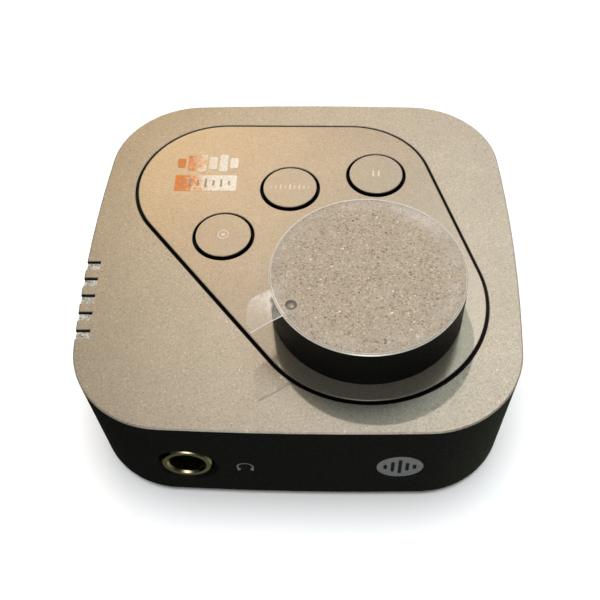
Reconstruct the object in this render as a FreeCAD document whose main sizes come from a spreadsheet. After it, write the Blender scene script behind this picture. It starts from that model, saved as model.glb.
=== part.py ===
"""Headphone amplifier: a rounded shell with an inlaid control panel, a volume knob and three buttons.

Millimetres, with X to the right, Y to the back and Z up. The origin is on the surface that the feet
stand on, under the middle of the shell. The headphone socket faces the front, -Y.
"""
import FreeCAD, Part
import math
import os
import PartDesign
import Sketcher

from FreeCAD import Vector

DIMENSIONS = {
    # Shell outline: long arcs at the sides, the front and the back, joined by tangent corner arcs.
    "width": 82.0,
    "depth": 80.9,
    "side_arc": 300.0,
    "front_arc": 650.0,
    "corner_arc": 17.7,
    "shell_height": 25.5,
    "side_draft": 0.9,
    "bottom_round": 1.2,
    "wall": 1.6,
    "floor_thickness": 2.0,
    "fit_gap": 0.1,
    # Top cover
    "cover_edge": 0.3,
    "cover_thickness": 2.0,
    "cover_bevel": 0.2,
    # Control panel: the hull of three circles, which are also the groove's middle line.
    "left_x": -16.36,
    "left_y": 16.19,
    "left_arc": 17.6,
    "right_x": 9.66,
    "right_y": 17.2,
    "right_arc": 16.45,
    "hub_x": 12.7,
    "hub_y": -12.39,
    "hub_arc": 22.1,
    "groove_width": 0.65,
    "groove_depth": 0.5,
    "panel_rise": 0.3,
    "panel_thickness": 0.25,
    "panel_round": 0.15,
    "tray_depth": 3.0,
    "tray_well": 1.2,
    "tray_lip": 2.0,
    # Buttons, on an arc about the panel's hub
    "button_arc": 31.5,
    "button_angle": 86.0,
    "button_step": 33.0,
    "button_radius": 5.42,
    "button_gap": 0.65,
    "button_rise": 0.67,
    "button_plate": 0.2,
    "button_flange": 0.6,
    "button_round": 0.1,
    "plunger_radius": 1.25,
    "plunger_height": 0.8,
    "switch_width": 5.2,
    "switch_height": 0.8,
    # Knob
    "knob_x": 12.65,
    "knob_y": -13.8,
    "knob_radius": 17.5,
    "knob_clearance": 0.8,
    "knob_rise": 9.83,
    "knob_wall": 1.6,
    "knob_plate": 1.6,
    "knob_cap": 0.4,
    "knob_chamfer": 0.15,
    "hub_radius": 5.2,
    "hub_rise": 3.2,
    "index_radius": 1.05,
    "index_depth": 0.25,
    "index_offset": 15.14,
    "index_angle": 209.0,
    "film_thickness": 0.1,
    "film_radius": 17.2,
    "tab_width": 6.0,
    "tab_reach": 24.1,
    "tab_offset": 3.1,
    "tab_corner": 0.4,
    "tab_angle": 214.0,
    # Potentiometer
    "shaft_radius": 3.0,
    "shaft_flat": 2.2,
    "shaft_gap": 0.05,
    "bushing_radius": 4.5,
    "bushing_rise": 2.6,
    "pot_width": 12.0,
    "pot_height": 6.4,
    "nut_height": 1.8,
    "nut_radius": 7.4,
    "washer_height": 0.5,
    "washer_radius": 7.0,
    # Circuit boards
    "board_rise": 4.0,
    "board_thickness": 1.6,
    "board_inset": 3.2,
    "control_drop": 6.3,
    "control_thickness": 1.0,
    "control_inset": 4.2,
    # Case screws and the bosses that they run through
    "boss_x": 31.6,
    "boss_y": 30.6,
    "boss_radius": 2.5,
    "stud_radius": 3.4,
    "screw_radius": 1.25,
    "screw_head": 2.2,
    "screw_head_height": 1.6,
    "screw_length": 12.0,
    # Feet
    "foot_height": 0.8,
    "foot_radius": 4.5,
    "foot_recess": 0.6,
    "foot_x": 21.0,
    "foot_y": 27.0,
    # Headphone socket, 6.35 mm
    "jack_x": -19.68,
    "jack_drop": 14.33,
    "jack_bore": 3.25,
    "jack_ring": 4.7,
    "jack_hole": 5.05,
    "jack_bevel": 0.75,
    "jack_width": 12.2,
    "jack_length": 27.5,
    "jack_face": 39.45,
    "jack_seat": 36.8,
    # Flat seat around the sockets in the back wall
    "rear_seat": 39.0,
    "seat_width": 54.0,
    "seat_height": 12.4,
    # Line input socket, 3.5 mm
    "line_x": 15.0,
    "line_bore": 1.82,
    "line_nose": 2.9,
    "line_width": 6.6,
    "line_height": 5.0,
    "line_length": 12.0,
    "line_face": 38.9,
    # USB-C socket
    "usb_x": -9.0,
    "usb_width": 8.94,
    "usb_height": 3.26,
    "usb_length": 7.35,
    "usb_sheet": 0.3,
    "usb_face": 38.9,
    # Level meter: five notches in the left edge over one light pipe
    "notch_count": 5,
    "notch_pitch": 4.0,
    "notch_width": 2.2,
    "notch_ledge": 0.2,
    "notch_middle": -12.95,
    "notch_length": 2.7,
    "pipe_slot_end": 36.6,
    "pipe_slot_drop": 0.45,
    "pipe_recess": 0.55,
    "tooth_height": 0.5,
}

# ---- Small fixed sizes ---------------------------------------------------------------------------

# How far a cut runs past the face that it opens
CUT_MARGIN = 1.0
# How far beyond an opening's radius its edges are looked for
EDGE_REACH = 0.2

CASE_SOCKET_RADIUS = 1.0
CASE_SOCKET_DEPTH = 0.9

POST_POSITIONS = [(-24.0, 20.0), (24.5, -2.5), (5.0, -25.0)]
POST_RADIUS = 1.9
BOARD_SCREW_RADIUS = 0.8
BOARD_SCREW_HEAD = 1.5
BOARD_SCREW_HEAD_HEIGHT = 0.8
BOARD_SCREW_BITE = 1.8

FILM_STEP = 0.02
POT_WALL = 0.8
POT_TRACK = 0.6
POT_CORNER = 1.0
POT_CHAMBER_GAP = 1.0
SWITCH_FLOOR = 0.2

# Centre x, y, then width, depth and height
CHIPS = [
    (6.0, 20.0, 7.0, 7.0, 0.9),
    (-4.0, 4.0, 5.0, 6.2, 1.2),
    (-4.0, -6.0, 5.0, 6.2, 1.2),
    (22.0, -2.0, 4.0, 4.0, 1.0),
]
CAPACITORS = [(5.0, 4.0), (5.0, -5.0), (-30.0, 6.0), (-30.0, 15.0)]
CAPACITOR_RADIUS = 3.15
CAPACITOR_HEIGHT = 5.4
SHIELD_SIZE = (15.0, 12.0, 2.6)
SHIELD_PLACE = (22.0, 12.0)
SHIELD_SHEET = 0.2
LINK_SIZE = (2.6, 12.8)
LINK_PLACE = (-22.0, 12.0)

FERRULE_BEVEL = 0.35
JACK_BACK = 1.5
JACK_CORNER = 1.0
JACK_CONTACTS = [(4.0, -1), (14.0, 1), (19.0, 0)]
CONTACT_LENGTH = 8.0
CONTACT_STRIP = 7.0
CONTACT_INSET = 0.6
CONTACT_WIDTH = 2.0
CONTACT_THICKNESS = 0.4
SLOT_WIDTH = 2.4

LINE_SHOULDER_GAP = 0.5
LINE_CORNER = 0.5
LINE_BACK = 1.0

USB_BASE = 1.2
USB_RECESS = 0.8
USB_BLADE = (6.69, 0.7)
USB_BLADE_ROUND = 0.2

PIPE_LEG_DEPTH = 2.0
PIPE_BAR_HEIGHT = 2.2
PIPE_OUTER_GAP = 0.1
PIPE_WALL_GAP = 1.1
PIPE_LAMP_GAP = 0.4
LAMP_SIZE = 1.6
LAMP_HEIGHT = 0.7


class Size:
    """A length or angle that carries both its value and the sheet expression that gives it."""

    def __init__(self, value, text=None):
        self.value = float(value)
        self.text = text or repr(float(value))

    def __add__(self, other):
        other = as_size(other)
        return Size(self.value + other.value, f"({self.text} + {other.text})")

    def __sub__(self, other):
        other = as_size(other)
        return Size(self.value - other.value, f"({self.text} - {other.text})")

    def __mul__(self, other):
        other = as_size(other)
        return Size(self.value * other.value, f"({self.text} * {other.text})")

    def __truediv__(self, other):
        other = as_size(other)
        return Size(self.value / other.value, f"({self.text} / {other.text})")

    def __neg__(self):
        return Size(-self.value, f"(0 - {self.text})")

    def cosine(self):
        return Size(math.cos(math.radians(self.value)), f"cos({self.text})")

    def sine(self):
        return Size(math.sin(math.radians(self.value)), f"sin({self.text})")


def as_size(number):
    return number if isinstance(number, Size) else Size(number)


class Dimensions:
    """The driving dimensions: one sheet row each, read back as attributes."""

    def __init__(self, document, table):
        sheet = document.addObject("Spreadsheet::Sheet", "Dims")
        for row, (name, number) in enumerate(table.items(), start=1):
            sheet.set(f"A{row}", name)
            sheet.set(f"B{row}", str(number))
            sheet.setAlias(f"B{row}", name)
            setattr(self, name, Size(number, f"Dims.{name}"))


doc = FreeCAD.newDocument("HeadphoneAmplifier")
dim = Dimensions(doc, DIMENSIONS)
doc.recompute()
pieces = []

# Heights of the main levels above the surface that the feet stand on
top_level = dim.foot_height + dim.shell_height
split_level = top_level - dim.cover_edge
cover_underside = top_level - dim.cover_thickness
panel_top = top_level + dim.panel_rise
tray_level = top_level - dim.tray_depth
tray_top = panel_top - dim.panel_thickness
board_level = dim.foot_height + dim.board_rise
board_top = board_level + dim.board_thickness
control_level = top_level - dim.control_drop
control_top = control_level + dim.control_thickness
jack_level = top_level - dim.jack_drop
cavity_inset = dim.wall + dim.side_draft
tooth_top = top_level - dim.pipe_recess


# ---- Sketches ------------------------------------------------------------------------------------

def place(piece, x=0, y=0, z=0):
    """Bind a piece's position to sheet expressions."""
    for axis, size in zip("xyz", (x, y, z)):
        piece.setExpression(f"Placement.Base.{axis}", as_size(size).text)


def keep(piece, label):
    """Name a finished piece and list it for export."""
    piece.Label = label
    pieces.append(piece)
    return piece


def new_body(label, x=0, y=0, z=0):
    body = doc.addObject("PartDesign::Body", label)
    place(body, x, y, z)
    return keep(body, label)


def new_sketch(body, z=0, x=0, y=0, role="XY_Plane"):
    """A sketch on one of the body's own planes; x, y, z shift it in that plane's own frame."""
    sketch = body.newObject("Sketcher::SketchObject", f"{body.Name}_sketch")
    plane = next(item for item in body.Origin.OriginFeatures if item.Role == role)
    sketch.AttachmentSupport = (plane, [""])
    sketch.MapMode = "FlatFace"
    for axis, size in zip("xyz", (x, y, z)):
        sketch.setExpression(f"AttachmentOffset.Base.{axis}", as_size(size).text)
    return sketch


def measure(sketch, kind, size, *elements):
    """Add a dimension to a sketch and bind it to its expression."""
    index = sketch.addConstraint(Sketcher.Constraint(kind, *elements, size.value))
    sketch.setExpression(f"Constraints[{index}]", size.text)


def pin(sketch, element, point, x, y):
    """Hold one point of a sketch element at x, y from the sketch's origin."""
    for kind, axis, size in (("DistanceX", -2, as_size(x)), ("DistanceY", -1, as_size(y))):
        if size.value == 0:
            sketch.addConstraint(Sketcher.Constraint("PointOnObject", element, point, axis))
        else:
            measure(sketch, kind, size, -1, 1, element, point)


def join_tangent(sketch, elements):
    """Join each element's end to the next one's start without a corner."""
    for first, second in zip(elements, elements[1:] + elements[:1]):
        sketch.addConstraint(Sketcher.Constraint("Tangent", first, 2, second, 1))


def add_circle(sketch, radius, x=0, y=0):
    radius = as_size(radius)
    centre = Vector(as_size(x).value, as_size(y).value, 0)
    circle = sketch.addGeometry(Part.Circle(centre, Vector(0, 0, 1), radius.value), False)
    measure(sketch, "Radius", radius, circle)
    pin(sketch, circle, 3, x, y)


def add_polygon(sketch, corners):
    points = [Vector(as_size(x).value, as_size(y).value, 0) for x, y in corners]
    lines = []
    for start, end in zip(points, points[1:] + points[:1]):
        lines.append(sketch.addGeometry(Part.LineSegment(start, end), False))
    for line, following in zip(lines, lines[1:] + lines[:1]):
        sketch.addConstraint(Sketcher.Constraint("Coincident", line, 2, following, 1))
    for line, (x, y) in zip(lines, corners):
        pin(sketch, line, 1, x, y)


def add_box(sketch, left, right, low, high):
    add_polygon(sketch, [(left, low), (right, low), (right, high), (left, high)])


def add_arc(sketch, x, y, radius, start, end):
    circle = Part.Circle(Vector(x, y, 0), Vector(0, 0, 1), radius)
    return sketch.addGeometry(Part.ArcOfCircle(circle, start, end), False)


def outer_tangent(first, second):
    """Angle of the outward normal on the straight side from one circle to the next, anticlockwise."""
    (x0, y0, r0), (x1, y1, r1) = ([size.value for size in circle] for circle in (first, second))
    heading = math.atan2(y1 - y0, x1 - x0)
    return heading - math.acos((r0 - r1) / math.hypot(x1 - x0, y1 - y0))


def add_hull(sketch, circles):
    """Draw the taut outline round circles given anticlockwise as (x, y, radius)."""
    circles = [tuple(as_size(size) for size in circle) for circle in circles]
    after = circles[1:] + circles[:1]
    normals = [outer_tangent(circle, following) for circle, following in zip(circles, after)]
    elements = []
    for index, (circle, following, leave) in enumerate(zip(circles, after, normals)):
        arrive = normals[index - 1]
        turn = (leave - arrive) % (2 * math.pi)
        x, y, radius = (size.value for size in circle)
        elements.append(add_arc(sketch, x, y, radius, arrive, arrive + turn))
        way = Vector(math.cos(leave), math.sin(leave), 0)
        start = Vector(x, y, 0) + way * radius
        end = Vector(following[0].value, following[1].value, 0) + way * following[2].value
        elements.append(sketch.addGeometry(Part.LineSegment(start, end), False))
    join_tangent(sketch, elements)
    for arc, (x, y, radius) in zip(elements[::2], circles):
        measure(sketch, "Radius", radius, arc)
        pin(sketch, arc, 3, x, y)


def add_round_box(sketch, width, depth, radius):
    """A rectangle about the sketch's origin with rounded corners."""
    across = (as_size(width) / 2) - radius
    along = (as_size(depth) / 2) - radius
    corners = [(across, along), (-across, along), (-across, -along), (across, -along)]
    add_hull(sketch, [(x, y, radius) for x, y in corners])


def add_stadium(sketch, width, height, x=0, y=0):
    """A slot with round ends, along the sketch's own X."""
    radius = as_size(height) / 2
    reach = (as_size(width) / 2) - radius
    add_hull(sketch, [(as_size(x) + reach, y, radius), (as_size(x) - reach, y, radius)])


def add_outline(sketch, inset=0):
    """The shell's outline seen from above, moved inward by the inset."""
    half_width = dim.width / 2
    half_depth = dim.depth / 2
    across = dim.side_arc - half_width
    along = dim.front_arc - half_depth
    corner = dim.corner_arc - inset
    # Each corner arc's centre lies where two circles about the long arcs' centres meet.
    from_side = (dim.side_arc - dim.corner_arc).value
    from_front = (dim.front_arc - dim.corner_arc).value
    spread = math.hypot(across.value, along.value)
    foot = (from_side ** 2 - from_front ** 2 + spread ** 2) / (2 * spread)
    rise = math.sqrt(from_side ** 2 - foot ** 2)
    corner_x = (foot * across.value + rise * along.value) / spread - across.value
    corner_y = (rise * across.value - foot * along.value) / spread
    half_front = math.atan2(corner_x, along.value + corner_y)
    half_side = math.atan2(corner_y, across.value + corner_x)
    elements = []
    for quarter, (x, y) in enumerate(((-across, 0), (0, -along), (across, 0), (0, along))):
        x, y = as_size(x), as_size(y)
        middle = quarter * math.pi / 2
        half, next_half = (half_front, half_side) if quarter % 2 else (half_side, half_front)
        radius = (dim.front_arc if quarter % 2 else dim.side_arc) - inset
        arc = add_arc(sketch, x.value, y.value, radius.value, middle - half, middle + half)
        measure(sketch, "Radius", radius, arc)
        pin(sketch, arc, 3, x, y)
        corner_way = (corner_x if quarter in (0, 3) else -corner_x, corner_y if quarter < 2 else -corner_y)
        start, end = middle + half, middle + math.pi / 2 - next_half
        elements += [arc, add_arc(sketch, *corner_way, corner.value, start, end)]
        measure(sketch, "Radius", corner, elements[-1])
    join_tangent(sketch, elements)


def add_panel_outline(sketch, grow=0):
    """The control panel's outline, moved outward from the groove's middle line."""
    add_hull(sketch, [
        (dim.hub_x, dim.hub_y, dim.hub_arc + grow),
        (dim.right_x, dim.right_y, dim.right_arc + grow),
        (dim.left_x, dim.left_y, dim.left_arc + grow),
    ])


def add_d_shape(sketch, radius, flat):
    """A circle with one flat side towards +Y, for the shaft and the bore that it drives."""
    half = math.acos(flat.value / radius.value)
    right, left = math.pi / 2 - half, math.pi / 2 + half
    arc = add_arc(sketch, 0, 0, radius.value, left, right + 2 * math.pi)
    ends = [Vector(radius.value * math.cos(a), radius.value * math.sin(a), 0) for a in (right, left)]
    line = sketch.addGeometry(Part.LineSegment(*ends), False)
    sketch.addConstraint(Sketcher.Constraint("Coincident", arc, 2, line, 1))
    sketch.addConstraint(Sketcher.Constraint("Coincident", line, 2, arc, 1))
    sketch.addConstraint(Sketcher.Constraint("Horizontal", line))
    pin(sketch, arc, 3, 0, 0)
    measure(sketch, "Radius", radius, arc)
    measure(sketch, "DistanceY", flat, -1, 1, line, 1)


# ---- Features ------------------------------------------------------------------------------------

def pad(body, sketch, length):
    """Raise a sketch along its own normal."""
    feature = body.newObject("PartDesign::Pad", f"{body.Name}_pad")
    feature.Profile = sketch
    feature.setExpression("Length", as_size(length).text)
    doc.recompute()
    return feature


def pocket(body, sketch, length, upward=True):
    """Cut a sketch out of the body and make sure that it removed material."""
    before = body.Shape.Volume
    feature = body.newObject("PartDesign::Pocket", f"{body.Name}_pocket")
    feature.Profile = sketch
    feature.Reversed = upward
    feature.setExpression("Length", as_size(length).text)
    doc.recompute()
    if body.Shape.Volume > before - 1e-3:
        raise RuntimeError(f"{feature.Label} in {body.Label} cuts nothing")
    return feature


def revolve(body, corners):
    """Turn a profile of (radius, height) corners about the body's Z axis."""
    sketch = new_sketch(body, role="XZ_Plane")
    add_polygon(sketch, corners)
    feature = body.newObject("PartDesign::Revolution", f"{body.Name}_revolution")
    feature.Profile = sketch
    feature.ReferenceAxis = (sketch, ["V_Axis"])
    feature.Angle = 360
    doc.recompute()
    return feature


def edges_at_height(shape, height):
    """Names of the edges that lie in the horizontal plane at this height."""
    names = []
    for number, edge in enumerate(shape.Edges, start=1):
        box = edge.BoundBox
        if abs(box.ZMin - height) < 1e-4 and abs(box.ZMax - height) < 1e-4:
            names.append(f"Edge{number}")
    return names


def edges_beyond(shape, front, x, radius):
    """Names of the edges in front of a distance towards -Y and within a radius of x."""
    names = []
    for number, edge in enumerate(shape.Edges, start=1):
        box = edge.BoundBox
        middle = as_size(x).value
        reach = as_size(radius).value + EDGE_REACH
        if box.YMax < -front.value and box.XMin > middle - reach and box.XMax < middle + reach:
            names.append(f"Edge{number}")
    return names


def soften(body, feature, height, size, kind="Fillet"):
    """Fillet or chamfer every edge of a feature at one height above the body's own origin."""
    names = edges_at_height(feature.Shape, as_size(height).value)
    result = body.newObject(f"PartDesign::{kind}", f"{body.Name}_{kind.lower()}")
    result.Base = (feature, names)
    result.setExpression("Radius" if kind == "Fillet" else "Size", as_size(size).text)
    doc.recompute()
    return result


def cylinder(radius, height, x=0, y=0, z=0):
    solid = doc.addObject("Part::Cylinder", "cylinder")
    solid.setExpression("Radius", as_size(radius).text)
    solid.setExpression("Height", as_size(height).text)
    place(solid, x, y, z)
    return solid


def block(width, depth, height, x=0, y=0, z=0):
    """A box whose bottom face is centred on x, y, z."""
    solid = doc.addObject("Part::Box", "block")
    for name, size in (("Length", width), ("Width", depth), ("Height", height)):
        solid.setExpression(name, as_size(size).text)
    place(solid, as_size(x) - as_size(width) / 2, as_size(y) - as_size(depth) / 2, z)
    return solid


def fuse(*solids):
    result = doc.addObject("Part::MultiFuse", "fuse")
    result.Shapes = list(solids)
    return result


def cut(base, *tools):
    result = doc.addObject("Part::Cut", "cut")
    result.Base = base
    result.Tool = tools[0] if len(tools) == 1 else fuse(*tools)
    return result


def group(label, solids):
    """Several separate solids of one kind kept as one named piece."""
    result = doc.addObject("Part::Compound", label)
    result.Links = list(solids)
    return keep(result, label)


def corner_positions(x, y):
    """The four mirror images of a point about the middle of the shell."""
    return [(x * across, y * along) for across in (1, -1) for along in (1, -1)]


def edge_at(y):
    """How far out the left edge is: it falls back by y squared over twice its arc's radius."""
    return dim.width / 2 - y * y / (dim.side_arc * 2)


def notch_positions():
    """The middles of the level meter's notches, from the front one to the back one."""
    first = dim.notch_middle - dim.notch_pitch * ((dim.notch_count - 1) / 2)
    return [first + dim.notch_pitch * step for step in range(int(dim.notch_count.value))]


def button_positions():
    """The three buttons' centres, from the right-hand one round to the left-hand one."""
    positions = []
    for step in range(3):
        angle = dim.button_angle + dim.button_step * step
        x = dim.hub_x + dim.button_arc * angle.cosine()
        y = dim.hub_y + dim.button_arc * angle.sine()
        positions.append((x, y))
    return positions


# ---- Casing --------------------------------------------------------------------------------------

def make_bottom_housing():
    """The black tub: drafted walls, a floor, bosses under the circuit board and the socket openings."""
    body = new_body("bottom_housing", z=dim.foot_height)
    height = split_level - dim.foot_height
    mouth = new_sketch(body, z=height)
    add_outline(mouth)
    walls = pad(body, mouth, height)
    walls.Reversed = True
    walls.setExpression("TaperAngle", f"-atan({(dim.side_draft / height).text})")
    doc.recompute()
    soften(body, walls, 0, dim.bottom_round)

    cavity = new_sketch(body, z=dim.floor_thickness)
    add_outline(cavity, cavity_inset)
    pocket(body, cavity, height)

    studs = new_sketch(body, z=dim.floor_thickness)
    for x, y in corner_positions(dim.boss_x, dim.boss_y):
        add_circle(studs, dim.stud_radius, x, y)
    pad(body, studs, dim.board_rise - dim.floor_thickness)

    holes = new_sketch(body)
    heads = new_sketch(body)
    for x, y in corner_positions(dim.boss_x, dim.boss_y):
        add_circle(holes, dim.screw_radius + dim.fit_gap, x, y)
        add_circle(heads, dim.screw_head + dim.fit_gap * 2, x, y)
    pocket(body, holes, dim.board_rise + CUT_MARGIN)
    pocket(body, heads, dim.screw_head_height + dim.foot_recess)

    feet = new_sketch(body)
    for x, y in corner_positions(dim.foot_x, dim.foot_y):
        add_circle(feet, dim.foot_radius + dim.fit_gap, x, y)
    pocket(body, feet, dim.foot_recess)

    cut_front_opening(body)
    cut_rear_openings(body)

    floor = tooth_top - dim.tooth_height - dim.fit_gap
    slots = new_sketch(body, z=floor - dim.foot_height)
    add_notches(slots, ledge=dim.notch_ledge)
    pocket(body, slots, split_level - floor)


def add_notches(sketch, length=None, ledge=0):
    """Draw the level meter's notches, each of one length from the left edge or as deep as the pipe."""
    half = dim.notch_width / 2
    outer = dim.width / 2 + CUT_MARGIN
    for y in notch_positions():
        inner = edge_at(y) - length if length else dim.pipe_slot_end
        add_box(sketch, -outer, -inner, y - half, y + half - ledge)


def cut_front_opening(body):
    """The headphone socket's hole, with a wide bevel at the face."""
    level = jack_level - dim.foot_height
    wall_depth = dim.jack_face - dim.depth / 2 + cavity_inset + CUT_MARGIN
    hole = new_sketch(body, z=dim.jack_face - wall_depth, role="XZ_Plane")
    add_circle(hole, dim.jack_hole, dim.jack_x, level)
    hole_cut = pocket(body, hole, wall_depth + CUT_MARGIN * 2)
    rims = edges_beyond(hole_cut.Shape, dim.jack_face - CUT_MARGIN, dim.jack_x, dim.jack_hole)
    bevel = body.newObject("PartDesign::Chamfer", "socket_bevel")
    bevel.Base = (hole_cut, rims)
    bevel.setExpression("Size", dim.jack_bevel.text)
    doc.recompute()


def cut_rear_openings(body):
    """A flat seat in the back wall, and the USB-C and line input openings through it."""
    level = board_top - dim.foot_height
    seat = new_sketch(body, z=-dim.rear_seat, role="XZ_Plane")
    add_stadium(seat, dim.seat_width, dim.seat_height, 0, level + dim.line_height / 2)
    pocket(body, seat, dim.depth / 2 - dim.rear_seat + CUT_MARGIN, upward=False)

    openings = new_sketch(body, z=-(dim.depth / 2 - cavity_inset - CUT_MARGIN), role="XZ_Plane")
    add_circle(openings, dim.line_nose + dim.fit_gap * 2, dim.line_x, level + dim.line_height / 2)
    grown = dim.fit_gap * 4
    add_stadium(openings, dim.usb_width + grown, dim.usb_height + grown,
                dim.usb_x, level + dim.usb_height / 2)
    pocket(body, openings, cavity_inset + CUT_MARGIN * 2, upward=False)


def make_top_cover():
    """The silver lid: a thin visible rim, a plug inside the tub's mouth, and four long bosses."""
    body = new_body("top_cover", z=cover_underside)
    plug_height = dim.cover_thickness - dim.cover_edge
    rim = new_sketch(body, z=plug_height)
    add_outline(rim)
    rim_pad = pad(body, rim, dim.cover_edge)
    soften(body, rim_pad, dim.cover_thickness, dim.cover_bevel, "Chamfer")
    plug = new_sketch(body)
    add_outline(plug, cavity_inset + dim.fit_gap)
    pad(body, plug, plug_height)

    opening = new_sketch(body)
    add_panel_outline(opening, dim.groove_width / 2)
    opening_cut = pocket(body, opening, dim.cover_thickness)
    soften(body, opening_cut, dim.cover_thickness, dim.panel_round)

    boss_height = cover_underside - board_top
    bosses = new_sketch(body, z=-boss_height)
    pilots = new_sketch(body, z=-boss_height)
    for x, y in corner_positions(dim.boss_x, dim.boss_y):
        add_circle(bosses, dim.boss_radius, x, y)
        add_circle(pilots, dim.screw_radius, x, y)
    pad(body, bosses, boss_height)
    pocket(body, pilots, dim.screw_length)

    slot_height = dim.cover_thickness - dim.pipe_slot_drop
    slots = new_sketch(body)
    add_notches(slots)
    pocket(body, slots, slot_height)
    notches = new_sketch(body, z=slot_height)
    add_notches(notches, dim.notch_length)
    pocket(body, notches, dim.pipe_slot_drop)


def make_panel_tray():
    """The black tray that fills the cover's opening: a rim at the groove's floor and a raised middle."""
    body = new_body("panel_tray", z=tray_level)
    lip = new_sketch(body)
    add_panel_outline(lip, dim.tray_lip)
    pad(body, lip, cover_underside - tray_level)
    rim = new_sketch(body)
    add_panel_outline(rim, dim.groove_width / 2 - dim.fit_gap / 2)
    pad(body, rim, top_level - dim.groove_depth - tray_level)
    middle = new_sketch(body)
    add_panel_outline(middle, -(dim.groove_width / 2))
    pad(body, middle, tray_top - tray_level)

    wells = new_sketch(body, z=tray_top - tray_level - dim.tray_well)
    for x, y in button_positions():
        add_circle(wells, dim.button_radius + dim.button_gap, x, y)
    pocket(body, wells, dim.tray_well)

    reliefs = new_sketch(body)
    for x, y in corner_positions(dim.boss_x, dim.boss_y):
        add_circle(reliefs, dim.boss_radius + dim.fit_gap * 2, x, y)
    pocket(body, reliefs, dim.tray_well)

    guides = new_sketch(body)
    for x, y in button_positions():
        add_circle(guides, dim.button_radius + dim.fit_gap, x, y)
    add_circle(guides, dim.bushing_radius + dim.fit_gap, dim.knob_x, dim.knob_y)
    pocket(body, guides, tray_top - tray_level)

    posts = new_sketch(body, z=control_top - tray_level)
    for x, y in POST_POSITIONS:
        add_circle(posts, POST_RADIUS, x, y)
    pad(body, posts, tray_level - control_top)
    pilots = new_sketch(body, z=control_top - tray_level)
    for x, y in POST_POSITIONS:
        add_circle(pilots, BOARD_SCREW_RADIUS, x, y)
    pocket(body, pilots, tray_level - control_top)


def make_control_panel():
    """The silver inlay: a thin plate with a softened edge and holes for the buttons and the shaft."""
    body = new_body("control_panel", z=tray_top)
    outline = new_sketch(body)
    add_panel_outline(outline, -(dim.groove_width / 2))
    pad(body, outline, dim.panel_thickness)
    holes = new_sketch(body)
    for x, y in button_positions():
        add_circle(holes, dim.button_radius + dim.button_gap, x, y)
    add_circle(holes, dim.bushing_radius + dim.fit_gap * 2, dim.knob_x, dim.knob_y)
    holes_cut = pocket(body, holes, dim.panel_thickness)
    soften(body, holes_cut, dim.panel_thickness, dim.panel_round)


def make_feet():
    feet = []
    for x, y in corner_positions(dim.foot_x, dim.foot_y):
        foot = cylinder(dim.foot_radius, dim.foot_height + dim.foot_recess, x, y)
        feet.append(foot)
    group("rubber_feet", feet)


def make_case_screws():
    """Four pan-head screws that clamp the housing, the main board and the cover together."""
    head_level = dim.foot_height + dim.foot_recess
    screws = []
    for x, y in corner_positions(dim.boss_x, dim.boss_y):
        head = cylinder(dim.screw_head, dim.screw_head_height, x, y, head_level)
        shank = cylinder(dim.screw_radius, dim.screw_length, x, y, head_level + dim.screw_head_height)
        socket = doc.addObject("Part::Prism", "socket")
        socket.Polygon = 6
        socket.Circumradius = CASE_SOCKET_RADIUS
        socket.Height = CASE_SOCKET_DEPTH
        place(socket, x, y, head_level)
        screws.append(cut(fuse(head, shank), socket))
    group("case_screws", screws)


# ---- Knob and potentiometer ----------------------------------------------------------------------

def make_knob_body():
    """The black skirt, its top plate and the hub that grips the shaft."""
    body = new_body("knob_body", dim.knob_x, dim.knob_y, top_level)
    plate_top = dim.knob_rise - dim.knob_cap
    plate_low = plate_top - dim.knob_plate
    inner = dim.knob_radius - dim.knob_wall
    revolve(body, [
        (0, plate_top),
        (0, dim.hub_rise),
        (dim.hub_radius, dim.hub_rise),
        (dim.hub_radius, plate_low),
        (inner, plate_low),
        (inner, dim.knob_clearance),
        (dim.knob_radius, dim.knob_clearance),
        (dim.knob_radius, plate_top),
    ])
    bore = new_sketch(body, z=dim.hub_rise)
    add_d_shape(bore, dim.shaft_radius, dim.shaft_flat)
    pocket(body, bore, plate_low - dim.hub_rise)


def make_knob_cap():
    """The silver disc on top of the knob, with a chamfered rim and a seat for the index dot."""
    body = new_body("knob_cap", dim.knob_x, dim.knob_y, top_level + dim.knob_rise - dim.knob_cap)
    disc = new_sketch(body)
    add_circle(disc, dim.knob_radius)
    disc_pad = pad(body, disc, dim.knob_cap)
    soften(body, disc_pad, dim.knob_cap, dim.knob_chamfer, "Chamfer")
    seat = new_sketch(body, z=dim.knob_cap - dim.index_depth)
    add_circle(seat, dim.index_radius, *index_position())
    pocket(body, seat, dim.index_depth)


def index_position():
    offset = dim.index_offset
    return offset * dim.index_angle.cosine(), offset * dim.index_angle.sine()


def make_knob_index():
    x, y = index_position()
    level = top_level + dim.knob_rise - dim.index_depth
    body = new_body("knob_index_dot", dim.knob_x + x, dim.knob_y + y, level)
    disc = new_sketch(body)
    add_circle(disc, dim.index_radius)
    pad(body, disc, dim.index_depth - FILM_STEP)
    dish = new_sketch(body, z=dim.index_depth / 2)
    add_circle(dish, dim.index_radius / 2)
    pocket(body, dish, dim.index_depth)


def make_knob_film():
    """The clear protective film on the knob's top, with the pull tab beyond its rim."""
    body = new_body("knob_film", dim.knob_x, dim.knob_y, top_level + dim.knob_rise)
    disc = new_sketch(body)
    add_circle(disc, dim.film_radius)
    pad(body, disc, dim.film_thickness)
    tab = new_sketch(body)
    turn = FreeCAD.Rotation(Vector(0, 0, 1), dim.tab_angle.value)
    tab.AttachmentOffset = FreeCAD.Placement(Vector(0, 0, 0), turn)
    near = dim.film_radius - dim.tab_width
    side = dim.tab_width / 2 - dim.tab_corner
    middle = -dim.tab_offset
    end = dim.tab_reach - dim.tab_corner
    add_hull(tab, [
        (end, middle - side, dim.tab_corner),
        (end, middle + side, dim.tab_corner),
        (near, middle + side, dim.tab_corner),
        (near, middle - side, dim.tab_corner),
    ])
    pad(body, tab, dim.film_thickness)


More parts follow.
